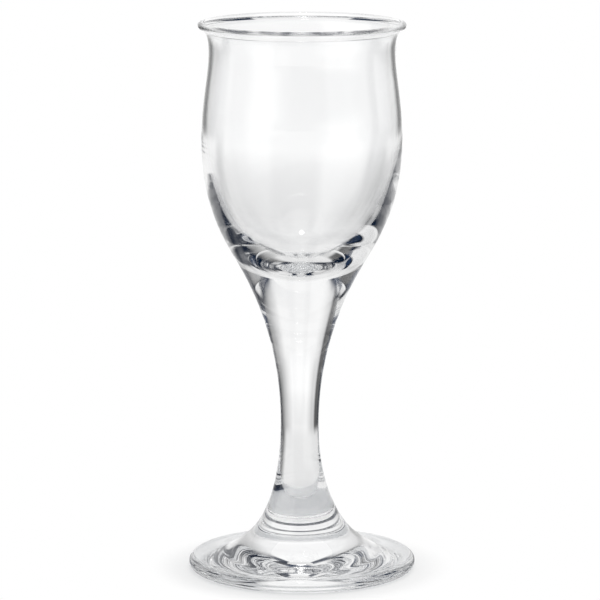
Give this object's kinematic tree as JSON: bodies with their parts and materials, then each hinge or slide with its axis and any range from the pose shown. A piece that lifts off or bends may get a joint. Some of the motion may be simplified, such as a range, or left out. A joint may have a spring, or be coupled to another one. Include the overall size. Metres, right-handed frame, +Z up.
{
  "type": "liqueur glass",
  "caption": "Small stemmed liqueur glass: tulip bowl with a rolled rim and thick base, waisted solid stem flaring into a round foot.",
  "frame": {"origin": "centre of the foot, on the surface that the glass stands on", "axes": "+Z up along the axis of the stem, towards the rim; X and Y level"},
  "size_m": [0.0454, 0.0454, 0.11],
  "materials": {
    "clear_glass": "clear colourless soda-lime glass, fire polished"
  },
  "bodies": {
    "root": {"bowl": "clear_glass", "stem": "clear_glass", "foot": "clear_glass"}
  },
  "joints": []
}
